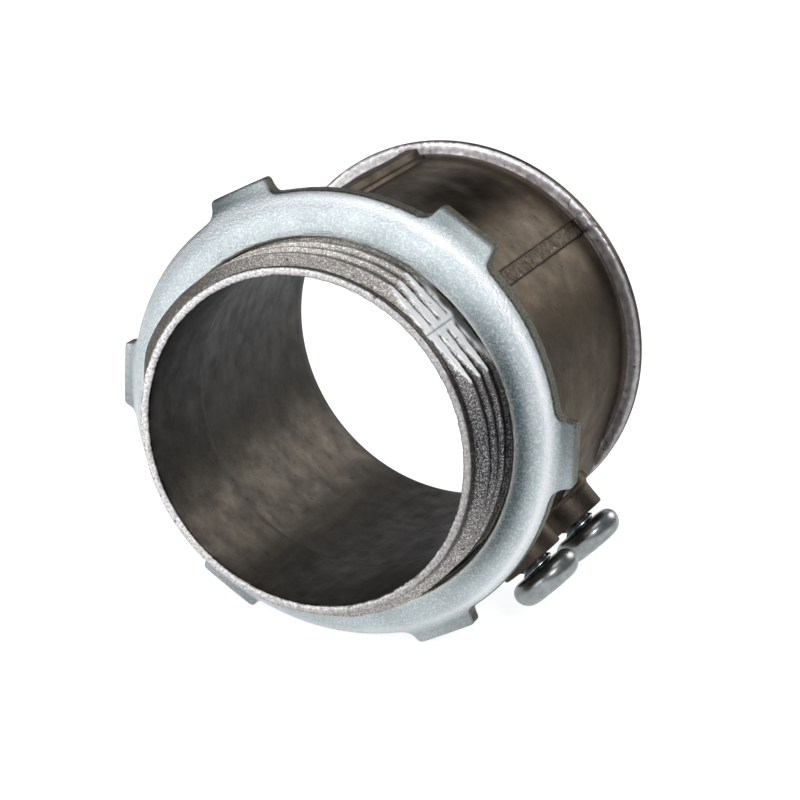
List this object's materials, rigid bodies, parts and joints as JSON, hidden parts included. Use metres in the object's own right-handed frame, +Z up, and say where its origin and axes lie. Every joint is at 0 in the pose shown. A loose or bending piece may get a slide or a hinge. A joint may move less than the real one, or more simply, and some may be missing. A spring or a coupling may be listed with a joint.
{
  "type": "set-screw conduit connector",
  "caption": "Die-cast conduit connector: a threaded spigot with a toothed locknut for a box knockout, and a plain socket whose set screws grip the conduit.",
  "frame": {"origin": "bottom centre of the object as it lies on its side on the locknut's two lower lugs; the conduit axis is level, 25.1 mm above it", "axes": "+Y along the conduit axis from the threaded spigot to the conduit socket, +Z up, +X to the right as seen from the spigot's end; the set screws look down to the right, 43.5 degrees below +X"},
  "size_m": [0.0538, 0.0432, 0.0505],
  "materials": {
    "die_cast_zinc": "as-cast zinc alloy, satin",
    "zinc_plated_steel": "satin zinc plating",
    "bright_zinc_plating": "glossy zinc plating"
  },
  "bodies": {
    "connector_body": {"connector_body": "die_cast_zinc"},
    "locknut": {"locknut": "zinc_plated_steel"},
    "set_screw_front": {"set_screw_front": "bright_zinc_plating"},
    "set_screw_rear": {"set_screw_rear": "bright_zinc_plating"}
  },
  "joints": [
    {"name": "locknut_travel", "type": "slide", "parent": "connector_body", "child": "locknut", "axis": [0, 1, 0], "range_m": [-0.015, 0.0036]},
    {"name": "set_screw_front_drive", "type": "slide", "parent": "connector_body", "child": "set_screw_front", "axis": [0.7254, 0, -0.6884], "range_m": [-0.0008, 0.0075]},
    {"name": "set_screw_rear_drive", "type": "slide", "parent": "connector_body", "child": "set_screw_rear", "axis": [0.7254, 0, -0.6884], "range_m": [-0.0008, 0.0075]}
  ]
}
